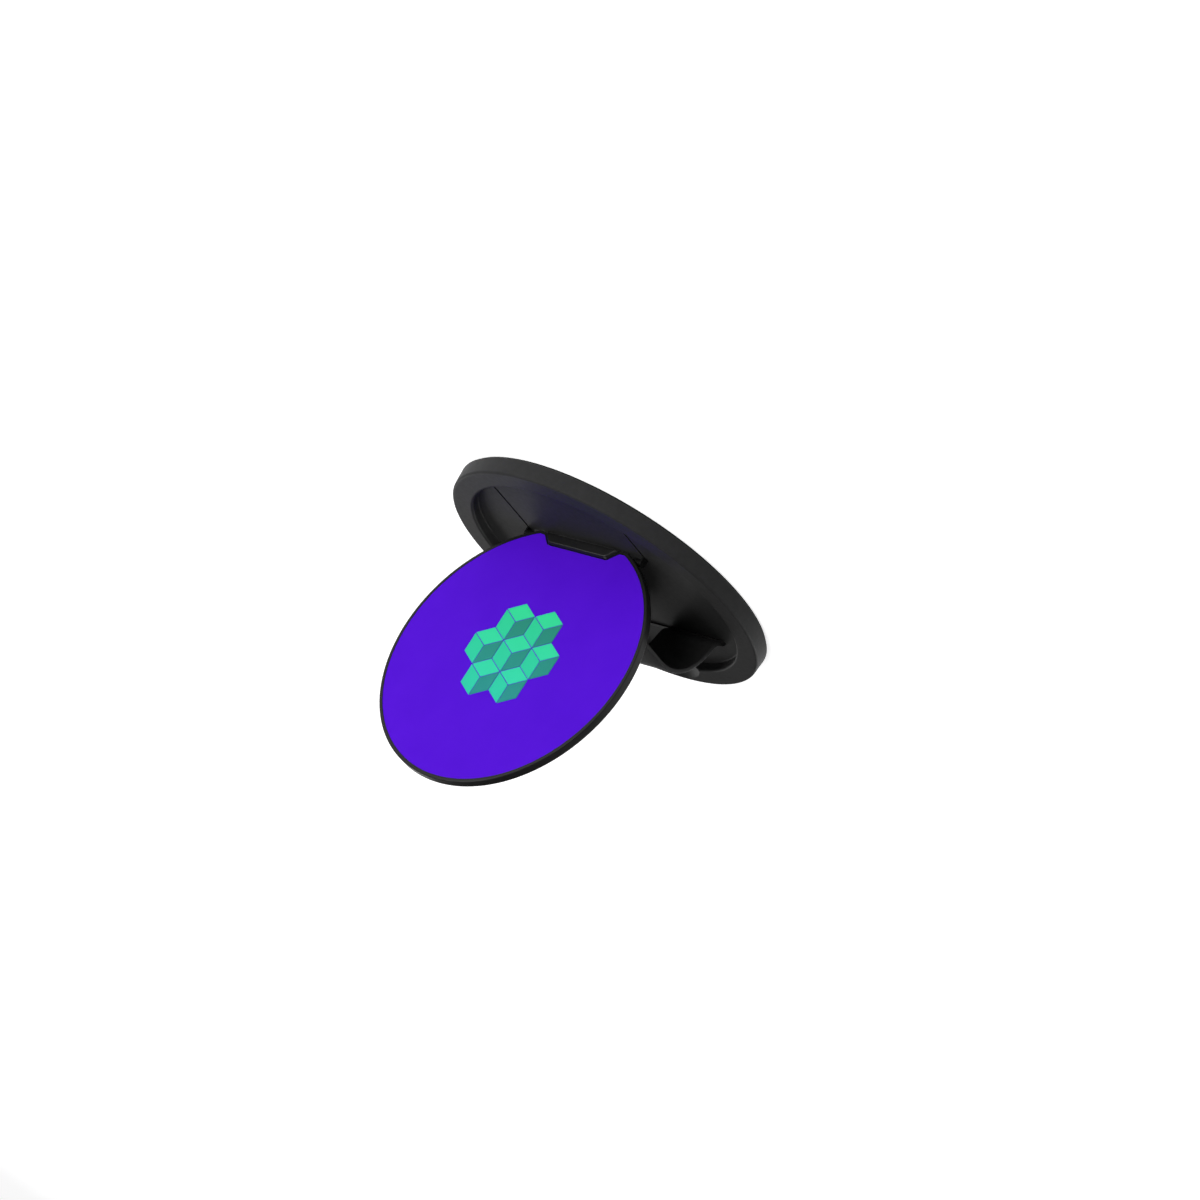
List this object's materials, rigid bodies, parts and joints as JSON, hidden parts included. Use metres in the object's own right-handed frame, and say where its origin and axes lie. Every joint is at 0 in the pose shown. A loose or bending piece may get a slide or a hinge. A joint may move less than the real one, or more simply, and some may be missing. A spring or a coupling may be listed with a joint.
{
  "type": "magnetic phone grip",
  "caption": "Flat round magnetic phone base with a round printed disc that folds flush into it or stands upright on a sliding hinge, with a flexible finger strap behind.",
  "frame": {"origin": "centre of the contact face that meets the phone", "axes": "+Z out of the phone's back, X along the hinge pin, +Y the way that the print of the standing disc looks"},
  "size_m": [0.057, 0.057, 0.0479],
  "materials": {
    "pad_rubber": "matt silicone rubber",
    "cover_plastic": "matt moulded sheet",
    "adhesive_film": "die-cut film",
    "housing_black": "satin black",
    "magnet_plating": "nickel plated",
    "plain_steel": "cold rolled, bare",
    "strap_rubber": "matt elastomer",
    "pin_steel": "ground",
    "washer_black": "black nylon",
    "frame_black": "satin black",
    "print_violet": "satin print",
    "ink_light": "printed ink",
    "ink_mid": "printed ink",
    "ink_dark": "printed ink"
  },
  "bodies": {
    "base": {"contact_pad": "pad_rubber", "back_cover": "cover_plastic", "cover_adhesive": "adhesive_film", "base_housing": "housing_black", "ring_magnets": "magnet_plating", "magnet_yoke": "plain_steel", "strap": "strap_rubber"},
    "carriage": {"slide_carriage": "plain_steel", "pivot_pin": "pin_steel", "pin_washers": "washer_black"},
    "disc": {"disc_frame": "frame_black", "steel_plate": "plain_steel", "print_adhesive": "adhesive_film", "print_plate": "print_violet", "print_blocks_light": "ink_light", "print_blocks_mid": "ink_mid", "print_blocks_dark": "ink_dark", "hinge_cover": "frame_black"}
  },
  "joints": [
    {"name": "carriage_slide", "type": "slide", "parent": "base", "child": "carriage", "axis": [0, 1, 0], "range_m": [0, 0.01386], "deforming": ["strap"]},
    {"name": "disc_tilt", "type": "hinge", "parent": "carriage", "child": "disc", "pos_m": [0, 0.00754, 0.0023], "axis": [1, 0, 0], "range_deg": [0, 90]}
  ],
  "couplings": [
    {"joint": "carriage_slide", "follows": "disc_tilt", "m_per_rad": 0.0088235}
  ]
}
